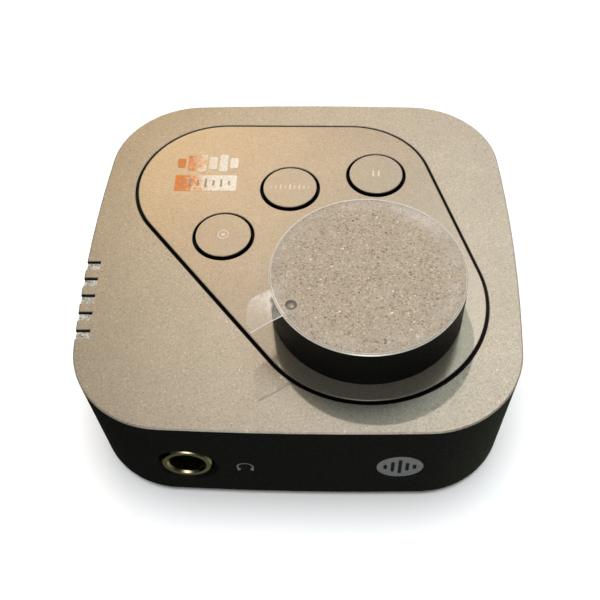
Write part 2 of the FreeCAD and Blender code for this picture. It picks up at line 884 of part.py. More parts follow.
def make_potentiometer():
    """Case with a threaded bushing, resistive track, wiper, shaft, washer and nut."""
    base_level = control_level - dim.pot_height
    case = new_body("pot_case", dim.knob_x, dim.knob_y, base_level)
    square = new_sketch(case)
    add_round_box(square, dim.pot_width, dim.pot_width, POT_CORNER)
    pad(case, square, dim.pot_height)
    neck = new_sketch(case, z=dim.pot_height)
    add_circle(neck, dim.bushing_radius)
    pad(case, neck, top_level + dim.bushing_rise - control_level)
    chamber = new_sketch(case, z=POT_WALL)
    add_circle(chamber, dim.pot_width / 2 - POT_WALL)
    pocket(case, chamber, dim.pot_height - POT_WALL * 2)
    bore = new_sketch(case, z=POT_WALL)
    add_circle(bore, dim.shaft_radius + dim.shaft_gap)
    pocket(case, bore, top_level + dim.bushing_rise - base_level)

    track = new_body("pot_track", dim.knob_x, dim.knob_y, base_level + POT_WALL)
    ring = new_sketch(track)
    add_circle(ring, dim.pot_width / 2 - POT_WALL - dim.fit_gap)
    pad(track, ring, POT_TRACK)

    shaft_low = base_level + POT_WALL + POT_TRACK + POT_CHAMBER_GAP
    shaft = new_body("pot_shaft", dim.knob_x, dim.knob_y, shaft_low)
    rod = new_sketch(shaft)
    add_circle(rod, dim.shaft_radius)
    hub_level = top_level + dim.hub_rise
    pad(shaft, rod, hub_level - dim.shaft_gap - shaft_low)
    tip = new_sketch(shaft, z=hub_level - dim.shaft_gap - shaft_low)
    add_d_shape(tip, dim.shaft_radius, dim.shaft_flat)
    pad(shaft, tip, dim.knob_rise - dim.knob_cap - dim.knob_plate - dim.hub_rise)

    wiper = new_body("pot_wiper", dim.knob_x, dim.knob_y, shaft_low + POT_TRACK)
    plate = new_sketch(wiper)
    add_circle(plate, dim.pot_width / 2 - POT_WALL - dim.fit_gap * 4)
    pad(wiper, plate, POT_TRACK)
    hole = new_sketch(wiper)
    add_circle(hole, dim.shaft_radius)
    pocket(wiper, hole, POT_TRACK)

    washer = new_body("pot_washer", dim.knob_x, dim.knob_y, panel_top)
    ring = new_sketch(washer)
    add_circle(ring, dim.washer_radius)
    add_circle(ring, dim.bushing_radius + dim.fit_gap)
    pad(washer, ring, dim.washer_height)

    nut = doc.addObject("Part::Prism", "nut_blank")
    nut.Polygon = 6
    nut.setExpression("Circumradius", dim.nut_radius.text)
    nut.setExpression("Height", dim.nut_height.text)
    nut_level = panel_top + dim.washer_height
    place(nut, dim.knob_x, dim.knob_y, nut_level)
    thread = cylinder(dim.bushing_radius, dim.nut_height, dim.knob_x, dim.knob_y, nut_level)
    keep(cut(nut, thread), "pot_nut")


# ---- Buttons -------------------------------------------------------------------------------------

def make_button(name, x, y):
    """One push button: black body with a retaining flange, silver face and switch plunger."""
    flange_low = tray_level - dim.fit_gap / 2 - dim.button_flange
    face_level = top_level + dim.button_rise - dim.button_plate
    body = new_body(f"{name}_button", x, y, flange_low)
    revolve(body, [
        (0, 0),
        (dim.button_radius + dim.button_gap, 0),
        (dim.button_radius + dim.button_gap, dim.button_flange),
        (dim.button_radius, dim.button_flange),
        (dim.button_radius, face_level - flange_low),
        (0, face_level - flange_low),
    ])

    face = new_body(f"{name}_button_face", x, y, face_level)
    disc = new_sketch(face)
    add_circle(disc, dim.button_radius)
    disc_pad = pad(face, disc, dim.button_plate)
    soften(face, disc_pad, dim.button_plate, dim.button_round)

    plunger = new_body(f"{name}_switch_plunger", x, y, flange_low - dim.plunger_height)
    pin_sketch = new_sketch(plunger)
    add_circle(pin_sketch, dim.plunger_radius)
    pad(plunger, pin_sketch, dim.plunger_height)


def make_switches():
    """Three low tact switches on the control board, each open at the top for its plunger."""
    switches = []
    for x, y in button_positions():
        case = block(dim.switch_width, dim.switch_width, dim.switch_height, x, y, control_top)
        well = cylinder(dim.plunger_radius + dim.fit_gap, dim.switch_height, x, y, control_top + SWITCH_FLOOR)
        switches.append(cut(case, well))
    group("button_switches", switches)


# ---- Circuit boards ------------------------------------------------------------------------------

def make_main_board():
    body = new_body("main_board", z=board_level)
    outline = new_sketch(body)
    add_outline(outline, dim.board_inset)
    for x, y in corner_positions(dim.boss_x, dim.boss_y):
        add_circle(outline, dim.screw_radius + dim.fit_gap * 2, x, y)
    pad(body, outline, dim.board_thickness)


def make_control_board():
    body = new_body("control_board", z=control_level)
    outline = new_sketch(body)
    add_panel_outline(outline, -dim.control_inset)
    add_circle(outline, dim.bushing_radius + dim.fit_gap * 2, dim.knob_x, dim.knob_y)
    for x, y in POST_POSITIONS:
        add_circle(outline, dim.fit_gap + BOARD_SCREW_RADIUS, x, y)
    pad(body, outline, dim.control_thickness)


def make_board_screws():
    """Three small screws that hold the control board under the tray's posts."""
    screws = []
    for x, y in POST_POSITIONS:
        head_level = control_level - BOARD_SCREW_HEAD_HEIGHT
        head = cylinder(BOARD_SCREW_HEAD, BOARD_SCREW_HEAD_HEIGHT, x, y, head_level)
        shank = cylinder(BOARD_SCREW_RADIUS, dim.control_thickness + BOARD_SCREW_BITE, x, y, control_level)
        screws.append(fuse(head, shank))
    group("board_screws", screws)


def make_board_components():
    """Chips, capacitors, the converter's shield and the link between the two boards."""
    chips = [block(w, d, h, x, y, board_top) for x, y, w, d, h in CHIPS]
    group("amplifier_chips", chips)
    cans = [cylinder(CAPACITOR_RADIUS, CAPACITOR_HEIGHT, x, y, board_top) for x, y in CAPACITORS]
    group("capacitors", cans)
    outer = block(*SHIELD_SIZE, *SHIELD_PLACE, board_top)
    width, depth, height = SHIELD_SIZE
    double = SHIELD_SHEET * 2
    inner = block(width - double, depth - double, height - SHIELD_SHEET, *SHIELD_PLACE, board_top)
    keep(cut(outer, inner), "converter_shield")
    link_height = control_level - board_top
    keep(block(*LINK_SIZE, link_height, *LINK_PLACE, board_top), "board_link")


# ---- Sockets -------------------------------------------------------------------------------------

def make_headphone_socket():
    """Gold ferrule, moulded body with the plug's bore, and three contact springs."""
    ring = new_body("jack_ring", dim.jack_x, 0, jack_level)
    ring_length = dim.jack_face - dim.jack_seat
    tube = new_sketch(ring, z=dim.jack_seat, role="XZ_Plane")
    add_circle(tube, dim.jack_ring)
    add_circle(tube, dim.jack_bore)
    tube_pad = pad(ring, tube, ring_length)
    bevel = ring.newObject("PartDesign::Chamfer", "ferrule_bevel")
    bevel.Base = (tube_pad, edges_beyond(tube_pad.Shape, dim.jack_face - CUT_MARGIN, 0, dim.jack_ring))
    bevel.Size = FERRULE_BEVEL
    doc.recompute()

    body = new_body("jack_body", dim.jack_x, 0, jack_level)
    rear = dim.jack_seat - dim.jack_length
    block_sketch = new_sketch(body, z=rear, role="XZ_Plane")
    add_round_box(block_sketch, dim.jack_width, (jack_level - board_top) * 2, JACK_CORNER)
    pad(body, block_sketch, dim.jack_length)
    bore = new_sketch(body, z=rear + JACK_BACK, role="XZ_Plane")
    add_circle(bore, dim.jack_bore)
    pocket(body, bore, dim.jack_length)
    for reach, side in JACK_CONTACTS:
        slot = new_sketch(body, z=rear + reach, role="XZ_Plane")
        add_box(slot, *contact_section(side, SLOT_WIDTH))
        pocket(body, slot, CONTACT_LENGTH)

    contacts = []
    for reach, side in JACK_CONTACTS:
        left, right, low, high = contact_section(side, CONTACT_WIDTH)
        height = as_size(high) - low
        middle = -(rear + reach + CONTACT_LENGTH / 2)
        x = dim.jack_x + (as_size(left) + right) / 2
        strip = block(as_size(right) - left, CONTACT_STRIP, height, x, middle, jack_level + low)
        contacts.append(strip)
    group("jack_contacts", contacts)


def contact_section(side, width):
    """Section of a contact's slot beside the bore: -1 is the left side, 1 the right and 0 the top."""
    is_slot = width == SLOT_WIDTH
    near = dim.jack_bore - CONTACT_INSET if is_slot else dim.jack_bore + dim.fit_gap
    far = dim.jack_bore + dim.fit_gap + CONTACT_THICKNESS
    if is_slot:
        far = far + dim.fit_gap
    half = width / 2
    if side == 0:
        return -half, half, near, far
    if side < 0:
        return -far, -near, -half, half
    return near, far, -half, half


def make_line_socket():
    """The 3.5 mm input: a small block with a round nose through the back wall."""
    level = board_top + dim.line_height / 2
    body = new_body("line_socket", dim.line_x, 0, level)
    nose_length = dim.line_face - dim.depth / 2 + cavity_inset + LINE_SHOULDER_GAP
    front = -(dim.line_face - nose_length)
    case = new_sketch(body, z=front, role="XZ_Plane")
    add_round_box(case, dim.line_width, dim.line_height, LINE_CORNER)
    pad(body, case, dim.line_length)
    nose = new_sketch(body, z=-dim.line_face, role="XZ_Plane")
    add_circle(nose, dim.line_nose)
    pad(body, nose, nose_length)
    bore = new_sketch(body, z=-dim.line_face, role="XZ_Plane")
    add_circle(bore, dim.line_bore)
    pocket(body, bore, nose_length + dim.line_length - LINE_BACK)


def make_usb_socket():
    """Folded metal shell and the contact tongue inside it."""
    shell = new_body("usb_shell", dim.usb_x, 0, board_top + dim.usb_height / 2)
    face = -dim.usb_face
    tube = new_sketch(shell, z=face, role="XZ_Plane")
    add_stadium(tube, dim.usb_width, dim.usb_height)
    double = dim.usb_sheet * 2
    add_stadium(tube, dim.usb_width - double, dim.usb_height - double)
    pad(shell, tube, dim.usb_length)

    tongue = new_body("usb_tongue", dim.usb_x, 0, board_top + dim.usb_height / 2)
    back = new_sketch(tongue, z=face + dim.usb_length - USB_BASE, role="XZ_Plane")
    add_stadium(back, dim.usb_width - double, dim.usb_height - double)
    pad(tongue, back, USB_BASE)
    blade = new_sketch(tongue, z=face + USB_RECESS, role="XZ_Plane")
    add_round_box(blade, *USB_BLADE, USB_BLADE_ROUND)
    pad(tongue, blade, dim.usb_length - USB_RECESS - USB_BASE)


# ---- Level meter ---------------------------------------------------------------------------------

def make_light_pipe():
    """Five teeth in the notches, joined by a bar under the cover, with a leg over each lamp."""
    tooth_width = dim.notch_width - dim.notch_ledge - dim.fit_gap * 2
    tooth_low = tooth_top - dim.tooth_height
    inner_wall = dim.width / 2 - cavity_inset - PIPE_WALL_GAP
    stem_inner = dim.pipe_slot_end + dim.fit_gap
    bar_length = dim.notch_pitch * (dim.notch_count - 1) + tooth_width
    bar_low = cover_underside - PIPE_BAR_HEIGHT - dim.fit_gap
    bar_x = -(inner_wall - PIPE_LEG_DEPTH / 2)
    bar_y = dim.notch_middle - dim.notch_ledge / 2
    leg_low = board_top + LAMP_HEIGHT + PIPE_LAMP_GAP
    solids = [block(PIPE_LEG_DEPTH, bar_length, PIPE_BAR_HEIGHT, bar_x, bar_y, bar_low)]
    lamps = []
    for middle in notch_positions():
        y = middle - dim.notch_ledge / 2
        outer = edge_at(middle) - PIPE_OUTER_GAP
        tooth = block(outer - stem_inner, tooth_width, dim.tooth_height,
                      -(outer + stem_inner) / 2, y, tooth_low)
        stem = block(inner_wall - stem_inner, tooth_width, tooth_top - bar_low,
                     -(inner_wall + stem_inner) / 2, y, bar_low)
        leg = block(PIPE_LEG_DEPTH, tooth_width, bar_low - leg_low, bar_x, y, leg_low)
        solids += [tooth, stem, leg]
        lamps.append(block(LAMP_SIZE, LAMP_SIZE, LAMP_HEIGHT, bar_x, y, board_top))
    keep(fuse(*solids), "meter_light_pipe")
    group("meter_lamps", lamps)


# ---- Assembly ------------------------------------------------------------------------------------

def make_everything():
    make_bottom_housing()
    make_top_cover()
    make_panel_tray()
    make_control_panel()
    make_feet()
    make_case_screws()
    make_knob_body()
    make_knob_cap()
    make_knob_index()
    make_knob_film()
    make_potentiometer()
    for name, (x, y) in zip(("right", "middle", "left"), button_positions()):
        make_button(name, x, y)
    make_switches()
    make_main_board()
    make_control_board()
    make_board_screws()
    make_board_components()
    make_headphone_socket()
    make_line_socket()
    make_usb_socket()
    make_light_pipe()


def check_document():
    """Stop if any feature failed or any piece has no valid shape."""
    for item in doc.Objects:
        if "Invalid" in item.State or "Error" in item.State:
            raise RuntimeError(f"{item.Name} ({item.Label}) failed: {item.State}")
    for piece in pieces:
        if piece.Shape.isNull() or not piece.Shape.isValid() or not piece.Shape.Solids:
            raise RuntimeError(f"{piece.Label} has no valid solid")


def export_pieces():
    os.makedirs("parts", exist_ok=True)
    for piece in pieces:
        piece.Shape.exportStep(f"parts/{piece.Label}.step")
        print(f"{piece.Label}: {len(piece.Shape.Solids)} solid(s), {piece.Shape.Volume:.1f} mm3")


make_everything()
doc.recompute()
check_document()
export_pieces()
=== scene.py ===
import math

import bpy
from mathutils import Matrix, Vector
from mathutils.bvhtree import BVHTree


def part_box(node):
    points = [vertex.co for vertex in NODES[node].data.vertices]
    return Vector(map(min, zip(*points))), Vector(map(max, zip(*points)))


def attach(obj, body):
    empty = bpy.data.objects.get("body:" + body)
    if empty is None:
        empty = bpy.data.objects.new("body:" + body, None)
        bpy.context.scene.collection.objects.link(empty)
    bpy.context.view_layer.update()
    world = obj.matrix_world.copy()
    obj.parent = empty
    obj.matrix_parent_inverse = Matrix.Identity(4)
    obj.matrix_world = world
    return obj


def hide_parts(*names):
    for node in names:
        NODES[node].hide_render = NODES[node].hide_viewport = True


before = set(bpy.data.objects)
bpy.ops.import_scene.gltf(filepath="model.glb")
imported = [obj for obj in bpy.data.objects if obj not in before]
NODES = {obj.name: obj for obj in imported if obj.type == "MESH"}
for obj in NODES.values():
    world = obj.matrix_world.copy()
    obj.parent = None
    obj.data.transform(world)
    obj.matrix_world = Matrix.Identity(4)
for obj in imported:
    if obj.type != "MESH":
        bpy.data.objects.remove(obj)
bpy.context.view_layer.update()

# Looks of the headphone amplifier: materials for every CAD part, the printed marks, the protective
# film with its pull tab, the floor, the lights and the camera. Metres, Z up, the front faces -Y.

MM = 0.001

# Camera: place in metres, then bearing, downward pitch and roll in degrees, and lengths in millimetres
CAMERA_PLACE = (0.007629, -0.112089, 0.160424)
CAMERA_BEARING = -4.178
CAMERA_PITCH = 53.414
CAMERA_ROLL = -2.829
CAMERA_LENS = 54.18
CAMERA_SENSOR = 36.0
CAMERA_NEAR = 5.0

# Key light: the way towards it, the point it aims at and its distance, in metres; its cone in degrees
KEY_DIRECTION = (-0.17, 0.745, 1.0)
KEY_AIM = (0.039, -0.018, 0.03)
KEY_DISTANCE = 0.9
KEY_CONE = 13.0
KEY_RADIUS = 0.012
KEY_ENERGY = 32.0
KEY_TINT = (1.0, 0.91, 0.86)

# Wash light over the floor, in metres
WASH_HEIGHT = 1.3
WASH_SIZE = 1.2
WASH_ENERGY = 23.5
WASH_TINT = (0.97, 0.985, 1.0)

# Soft bright areas of the room: bearing and elevation in degrees, sharpness, and colour
WORLD_LOBES = (
    ((0, 90), 0.5, (0.05, 0.06, 0.06)),
    ((24, 57), 34.0, (2.10, 2.30, 2.18)),
    ((-16, 39), 40.0, (3.10, 2.15, 1.15)),
    ((180, 36), 34.0, (3.20, 3.20, 3.05)),
    ((60, -50), 1.5, (0.24, 0.26, 0.20)),
)

FLOOR_REACH = 4.0

# Knob, in millimetres
KNOB_RADIUS = 17.5
RIM_BEVEL = 0.18
INDEX_RADIUS = 1.05

# Protective film, in millimetres and degrees: the tab's sides are measured across its own bearing.
# The tab's far edge falls back by the slant, and its corner there rises by the curl.
FILM_RADIUS = 17.2
FILM_THICKNESS = 0.08
FILM_SINK = 0.01
TAB_BEARING = 214.0
TAB_REACH = 24.1
TAB_SIDES = (-6.2, -0.1)
TAB_CORNER = 0.35
TAB_SLANT = 3.6
TAB_CURL = 0.45
TAB_WAVE = 0.12

# The film's mesh: rings from the middle and points round the rest of the rim, rows and lanes on the tab
FILM_RINGS = 10
FILM_POINTS = 120
TAB_ROWS = 14
TAB_LANES = 12

# The film's haze: from where to where it thickens outwards, in millimetres, and the way the painted
# highlight crescent faces
HAZE_RADII = (12.5, 17.0)
PAINTED_CRESCENT_WAY = (0.62, 0.78)

# Prints, in millimetres: ink laid over other ink starts higher
PRINT_LIFT = 0.015
PRINT_THICKNESS = 0.02
OVERPRINT_LIFT = 0.03
CORNER_STEPS = 4
BAND_STEPS = 20
DISC_STEPS = 48

# Mark on the panel, in millimetres: upright bars over a solid block with gaps
MARK_SIDES = (-26.3, -13.6)
MARK_BARS_Y = 22.3
MARK_BAR_WIDTH = 1.7
MARK_BAR_HEIGHTS = (2.6, 4.4, 5.2, 3.8, 4.9, 3.0)
MARK_BLOCK_Y = 16.6
MARK_BLOCK_HEIGHT = 4.4
MARK_GAP_HEIGHTS = (1.4, 2.4, 1.8, 2.6, 1.6, 2.2, 1.2)

# Marks on the front, in millimetres
SYMBOL_PLACE = (-9.02, 12.3)
BADGE_PLACE = (18.7, 13.0)
BADGE_RADIUS = 4.15
BADGE_BAR_HEIGHTS = (1.8, 4.0, 5.6, 3.2, 1.8)

WAVE_HEIGHTS = (0.5, 0.9, 1.5, 1.0, 1.7, 1.0, 1.5, 0.9, 0.5)

# Moulded plastic: colour, roughness and shine
PLASTICS = {
    "shell_black": ((0.0065, 0.0068, 0.0056), 0.55, 0.16),
    "tray_black": ((0.004, 0.004, 0.004), 0.5, 0.15),
    "knob_black": ((0.005, 0.0052, 0.0045), 0.5, 0.14),
    "pot_track": ((0.16, 0.09, 0.04), 0.5, 0.4),
    "button_black": ((0.004, 0.004, 0.004), 0.45, 0.2),
    "switch_black": ((0.012, 0.012, 0.012), 0.45, 0.4),
    "plunger_white": ((0.75, 0.74, 0.70), 0.4, 0.4),
    "chip_black": ((0.014, 0.014, 0.015), 0.4, 0.4),
    "connector_black": ((0.010, 0.010, 0.010), 0.42, 0.35),
    "lamp_white": ((0.72, 0.70, 0.55), 0.35, 0.5),
}

# Bare or plated metal: colour, roughness and tarnish
METALS = {
    "screw_steel": ((0.46, 0.46, 0.45), 0.32, 0.12),
    "pot_metal": ((0.55, 0.55, 0.53), 0.3, 0.12),
    "capacitor_can": ((0.62, 0.62, 0.62), 0.28, 0.12),
    "shield_steel": ((0.58, 0.57, 0.54), 0.34, 0.12),
    "socket_gold": ((0.96, 0.82, 0.50), 0.14, 0.10),
    "contact_metal": ((0.80, 0.56, 0.30), 0.3, 0.12),
    "socket_shell": ((0.60, 0.60, 0.59), 0.28, 0.12),
}

# Sprayed metal: colour, roughness, size of the flakes in millimetres, their contrast, metallic, coat
SPRAYED = {
    "cover_silver": ((0.58, 0.53, 0.45), 0.37, 0.19, 0.28, 0.35, 0.0),
    "panel_silver": ((0.49, 0.43, 0.35), 0.14, 0.17, 0.24, 0.30, 0.3),
    "button_silver": ((0.475, 0.425, 0.355), 0.22, 0.17, 0.22, 0.36, 0.3),
}
KNOB_TINT = (0.50, 0.435, 0.35)
KNOB_FLAKES = (0.25, 0.58)
BLACK = (0.0, 0.0, 0.0)


# ---- Node graphs ---------------------------------------------------------------------------------

class Graph:
    """A new material with one Principled shader, and short calls to add nodes to it."""

    def __init__(self, name):
        self.material = bpy.data.materials.new(name)
        self.material.use_nodes = True
        self.tree = self.material.node_tree
        self.tree.nodes.clear()
        self.shader = self.tree.nodes.new("ShaderNodeBsdfPrincipled")
        output = self.tree.nodes.new("ShaderNodeOutputMaterial")
        self.tree.links.new(self.shader.outputs["BSDF"], output.inputs["Surface"])
        coordinates = self.tree.nodes.new("ShaderNodeTexCoord")
        scaled = self.tree.nodes.new("ShaderNodeMapping")
        scaled.inputs["Scale"].default_value = (1 / MM, 1 / MM, 1 / MM)
        self.tree.links.new(coordinates.outputs["Object"], scaled.inputs["Vector"])
        self.millimetres = scaled.outputs["Vector"]

    def link(self, source, target):
        self.tree.links.new(source, target)

    def set(self, **values):
        """Sets the shader's own sockets; an underscore in a name stands for a space."""
        for name, value in values.items():
            self.shader.inputs[name.replace("_", " ")].default_value = value

    def noise(self, size, detail=2.0, roughness=0.5, stretch=(1, 1, 1)):
        """Smooth noise whose features are about size millimetres across."""
        node = self.tree.nodes.new("ShaderNodeTexNoise")
        node.inputs["Scale"].default_value = 1 / size
        node.inputs["Detail"].default_value = detail
        node.inputs["Roughness"].default_value = roughness
        if stretch == (1, 1, 1):
            self.link(self.millimetres, node.inputs["Vector"])
        else:
            mapping = self.tree.nodes.new("ShaderNodeMapping")
            mapping.inputs["Scale"].default_value = stretch
            self.link(self.millimetres, mapping.inputs["Vector"])
            self.link(mapping.outputs["Vector"], node.inputs["Vector"])
        return node.outputs["Fac"]

    def grains(self, size):
        """A random number for each grain, about size millimetres across."""
        node = self.tree.nodes.new("ShaderNodeTexVoronoi")
        node.inputs["Scale"].default_value = 1 / size
        self.link(self.millimetres, node.inputs["Vector"])
        split = self.tree.nodes.new("ShaderNodeSeparateColor")
        self.link(node.outputs["Color"], split.inputs["Color"])
        return split.outputs["Red"]

    def ramp(self, source, *stops):
        """Maps a number to a grey or a colour; each stop is a place and a value."""
        node = self.tree.nodes.new("ShaderNodeValToRGB")
        elements = node.color_ramp.elements
        while len(elements) < len(stops):
            elements.new(0.5)
        for element, (place, value) in zip(elements, stops):
            element.position = place
            element.color = (*value, 1) if isinstance(value, tuple) else (value, value, value, 1)
        self.link(source, node.inputs["Fac"])
        return node.outputs["Color"]

    def span(self, source, low, high, start=0.0, end=1.0):
        """Maps start..end to low..high, smoothly and without overshoot."""
        node = self.tree.nodes.new("ShaderNodeMapRange")
        node.interpolation_type = "SMOOTHSTEP"
        node.inputs["From Min"].default_value = start
        node.inputs["From Max"].default_value = end
        node.inputs["To Min"].default_value = low
        node.inputs["To Max"].default_value = high
        self.link(source, node.inputs["Value"])
        return node.outputs["Result"]

    def vary(self, size, low, high):
        """Noise of that size, spread smoothly over low..high."""
        return self.span(self.noise(size), low, high, 0.3, 0.7)

    def math(self, operation, first, second):
        node = self.tree.nodes.new("ShaderNodeMath")
        node.operation = operation
        for socket, value in zip(node.inputs, (first, second)):
            if isinstance(value, (int, float)):
                socket.default_value = value
            else:
                self.link(value, socket)
        return node.outputs["Value"]

    def mix(self, first, second, factor=1.0, blend="MULTIPLY"):
        """Blends two colours; a plain tuple is a constant colour."""
        node = self.tree.nodes.new("ShaderNodeMix")
        node.data_type = "RGBA"
        node.blend_type = blend
        sockets = [s for s in node.inputs if s.type == "RGBA"]
        for socket, value in zip(sockets, (first, second)):
            if isinstance(value, tuple):
                socket.default_value = (*value, 1)
            else:
                self.link(value, socket)
        if isinstance(factor, (int, float)):
            node.inputs["Factor"].default_value = factor
        else:
            self.link(factor, node.inputs["Factor"])
        return next(s for s in node.outputs if s.type == "RGBA")

    def colour(self, source):
        self.link(source, self.shader.inputs["Base Color"])

    def rough(self, source):
        self.link(source, self.shader.inputs["Roughness"])

    def glow(self, source, strength):
        self.link(source, self.shader.inputs["Emission Color"])
        self.set(Emission_Strength=strength)

    def bump(self, height, depth, strength):
        """Raises the surface by up to depth millimetres where height is 1."""
        node = self.tree.nodes.new("ShaderNodeBump")
        node.inputs["Strength"].default_value = strength
        node.inputs["Distance"].default_value = depth * MM
        self.link(height, node.inputs["Height"])
        self.link(node.outputs["Normal"], self.shader.inputs["Normal"])

    def axis(self, index):
        """One coordinate, in millimetres."""
        node = self.tree.nodes.new("ShaderNodeSeparateXYZ")
        self.link(self.millimetres, node.inputs["Vector"])
        return node.outputs[index]

    def level_offset(self, centre, way):
        """How far a point is from the centre along a level unit vector, in millimetres."""
        parts = [self.math("MULTIPLY", self.math("SUBTRACT", self.axis(index), centre[index]), way[index])
                 for index in range(2)]
        return self.math("ADD", *parts)

    def level_distance(self, centre):
        """Distance from an upright axis through the centre, in millimetres."""
        squares = [self.math("POWER", self.math("SUBTRACT", self.axis(index), centre[index]), 2.0)
                   for index in range(2)]
        return self.math("SQRT", self.math("ADD", *squares), 0.0)


# ---- Materials -----------------------------------------------------------------------------------

def flake_graph(name, tint, grain, contrast):
    """Flakes, rare bright and dark specks and a faint cloudiness, in colour and as bump."""
    g = Graph(name)
    flakes = g.ramp(g.grains(grain), (0.0, 1 - contrast), (0.2, 0.93), (0.8, 1.0),
                    (1.0, 1 + contrast * 0.7))
    specks = g.ramp(g.grains(grain * 1.25), (0.0, 1 - contrast * 1.4), (0.012, 1.0), (0.988, 1.0),
                    (0.996, 1 + contrast * 1.3))
    clouds = g.ramp(g.noise(9.0, 3.0), (0.3, 0.97), (0.7, 1.03))
    g.finish = g.mix(g.mix(g.mix(flakes, specks), clouds), tint)
    g.colour(g.finish)
    g.bump(g.noise(grain * 0.8, 3.0, 0.7), 0.010, 0.5)
    return g


def sprayed_metal(name, tint, roughness, grain, contrast, metallic, coat):
    """Metal with a sprayed flake finish, under a clear coat if there is one."""
    g = flake_graph(name, tint, grain, contrast)
    g.rough(g.vary(0.6, roughness - 0.05, roughness + 0.05))
    g.set(Metallic=metallic, Coat_Weight=coat, Coat_Roughness=0.04)
    return g.material


def knob_top_metal(name):
    """The flake finish with a smooth bevel at the rim, painted bright with a faint glow as a painted
    highlight, over a dark side wall.
    """
    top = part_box("knob_cap")[1].z / MM
    g = flake_graph(name, KNOB_TINT, *KNOB_FLAKES)
    away = g.level_distance(centre_of("knob_cap"))
    wall = g.span(g.axis(2), 1.0, 0.0, top - RIM_BEVEL - 0.06, top - RIM_BEVEL)
    bevel = g.span(away, 0.0, 1.0, KNOB_RADIUS - RIM_BEVEL, KNOB_RADIUS - RIM_BEVEL + 0.04)
    rim = g.math("MULTIPLY", bevel, g.math("SUBTRACT", 1.0, wall))
    # Painted highlight: the bevel's colour turns pale and glows faintly; its lower roughness is the bevel's
    # real polish
    colour = g.mix(g.finish, (0.90, 0.86, 0.78), rim, "MIX")
    g.colour(g.mix(colour, (0.012, 0.012, 0.010), wall, "MIX"))
    g.glow(g.mix(BLACK, (0.9, 0.9, 0.86), rim, "MIX"), 0.12)
    g.rough(g.span(rim, 0.54, 0.25))
    g.set(Metallic=0.35)
    return g.material


def index_metal(name):
    """A dished inlay: a dull floor with a painted glint, inside a rim darkened by painted shade."""
    x, y = centre_of("knob_index_dot")[:2]
    g = Graph(name)
    away = g.math("DIVIDE", g.level_distance((x, y)), INDEX_RADIUS)
    # Darker towards the rim: painted shade in the dish
    rings = g.ramp(away, (0.0, (0.26, 0.24, 0.20)), (0.42, (0.20, 0.18, 0.15)),
                   (0.58, (0.03, 0.03, 0.025)), (1.0, (0.012, 0.012, 0.010)))
    # Painted highlight: a small bright glint off the middle
    painted_glint = g.span(g.level_distance((x + 0.2, y - 0.3)), 1.0, 0.0, 0.08, 0.25)
    g.colour(g.mix(rings, (0.95, 0.93, 0.88), painted_glint, "MIX"))
    g.rough(g.vary(0.2, 0.22, 0.4))
    g.bump(g.noise(0.15), 0.01, 0.5)
    g.set(Metallic=0.8)
    return g.material


def moulded_plastic(name, tint, roughness, shine):
    """Moulded plastic with a fine spark-eroded grain."""
    g = Graph(name)
    shade = g.ramp(g.noise(1.6, 4.0), (0.3, 0.82), (0.7, 1.15))
    g.colour(g.mix(shade, tint))
    g.rough(g.vary(0.5, roughness - 0.06, roughness + 0.06))
    g.bump(g.noise(0.12, 2.0, 0.6), 0.01, 0.5)
    g.set(Specular_IOR_Level=shine)
    return g.material


def plain_metal(name, tint, roughness, tarnish):
    """Bare or plated metal, with fine tool marks and faint tarnish."""
    g = Graph(name)
    marks = g.noise(0.12, 2.0, 0.6)
    shade = g.ramp(g.noise(1.1, 4.0), (0.3, 1 - tarnish), (0.7, 1.0))
    g.colour(g.mix(shade, tint))
    g.rough(g.span(marks, roughness - 0.07, roughness + 0.08, 0.3, 0.7))
    g.bump(marks, 0.004, 0.5)
    g.set(Metallic=1.0)
    return g.material


def rubber(name):
    g = Graph(name)
    g.colour(g.mix(g.ramp(g.noise(0.8, 4.0), (0.3, 0.7), (0.7, 1.2)), (0.03, 0.03, 0.032)))
    g.rough(g.vary(0.4, 0.75, 0.92))
    g.bump(g.noise(0.25, 3.0), 0.03, 0.6)
    g.set(Specular_IOR_Level=0.3)
    return g.material


def circuit_board(name):
    """Dark green solder mask over copper areas, with pale plated spots."""
    g = Graph(name)
    areas = g.ramp(g.grains(2.4), (0.0, (0.006, 0.030, 0.014)), (0.5, (0.010, 0.050, 0.022)),
                   (1.0, (0.008, 0.038, 0.018)))
    spots = g.span(g.grains(1.1), 0.0, 1.0, 0.955, 0.965)
    g.colour(g.mix(areas, (0.55, 0.47, 0.27), spots, "MIX"))
    g.rough(g.vary(0.8, 0.25, 0.4))
    g.bump(g.grains(2.4), 0.03, 0.5)
    return g.material


def light_pipe(name):
    """Milky plastic with an uneven mottle, which glows by itself as painted light coming through it."""
    g = Graph(name)
    milk_and_painted_glow = g.ramp(g.noise(0.5, 4.0, 0.75), (0.34, (0.12, 0.115, 0.10)), (0.44, (0.36, 0.35, 0.31)),
                  (0.54, (0.60, 0.59, 0.54)), (0.66, (0.95, 0.94, 0.90)))
    g.colour(milk_and_painted_glow)
    # Painted light: the mottle glows, though no lamp in the scene shines into the pipe
    g.glow(milk_and_painted_glow, 0.22)
    g.rough(g.vary(0.4, 0.2, 0.4))
    g.bump(g.noise(0.3, 3.0), 0.04, 0.6)
    return g.material


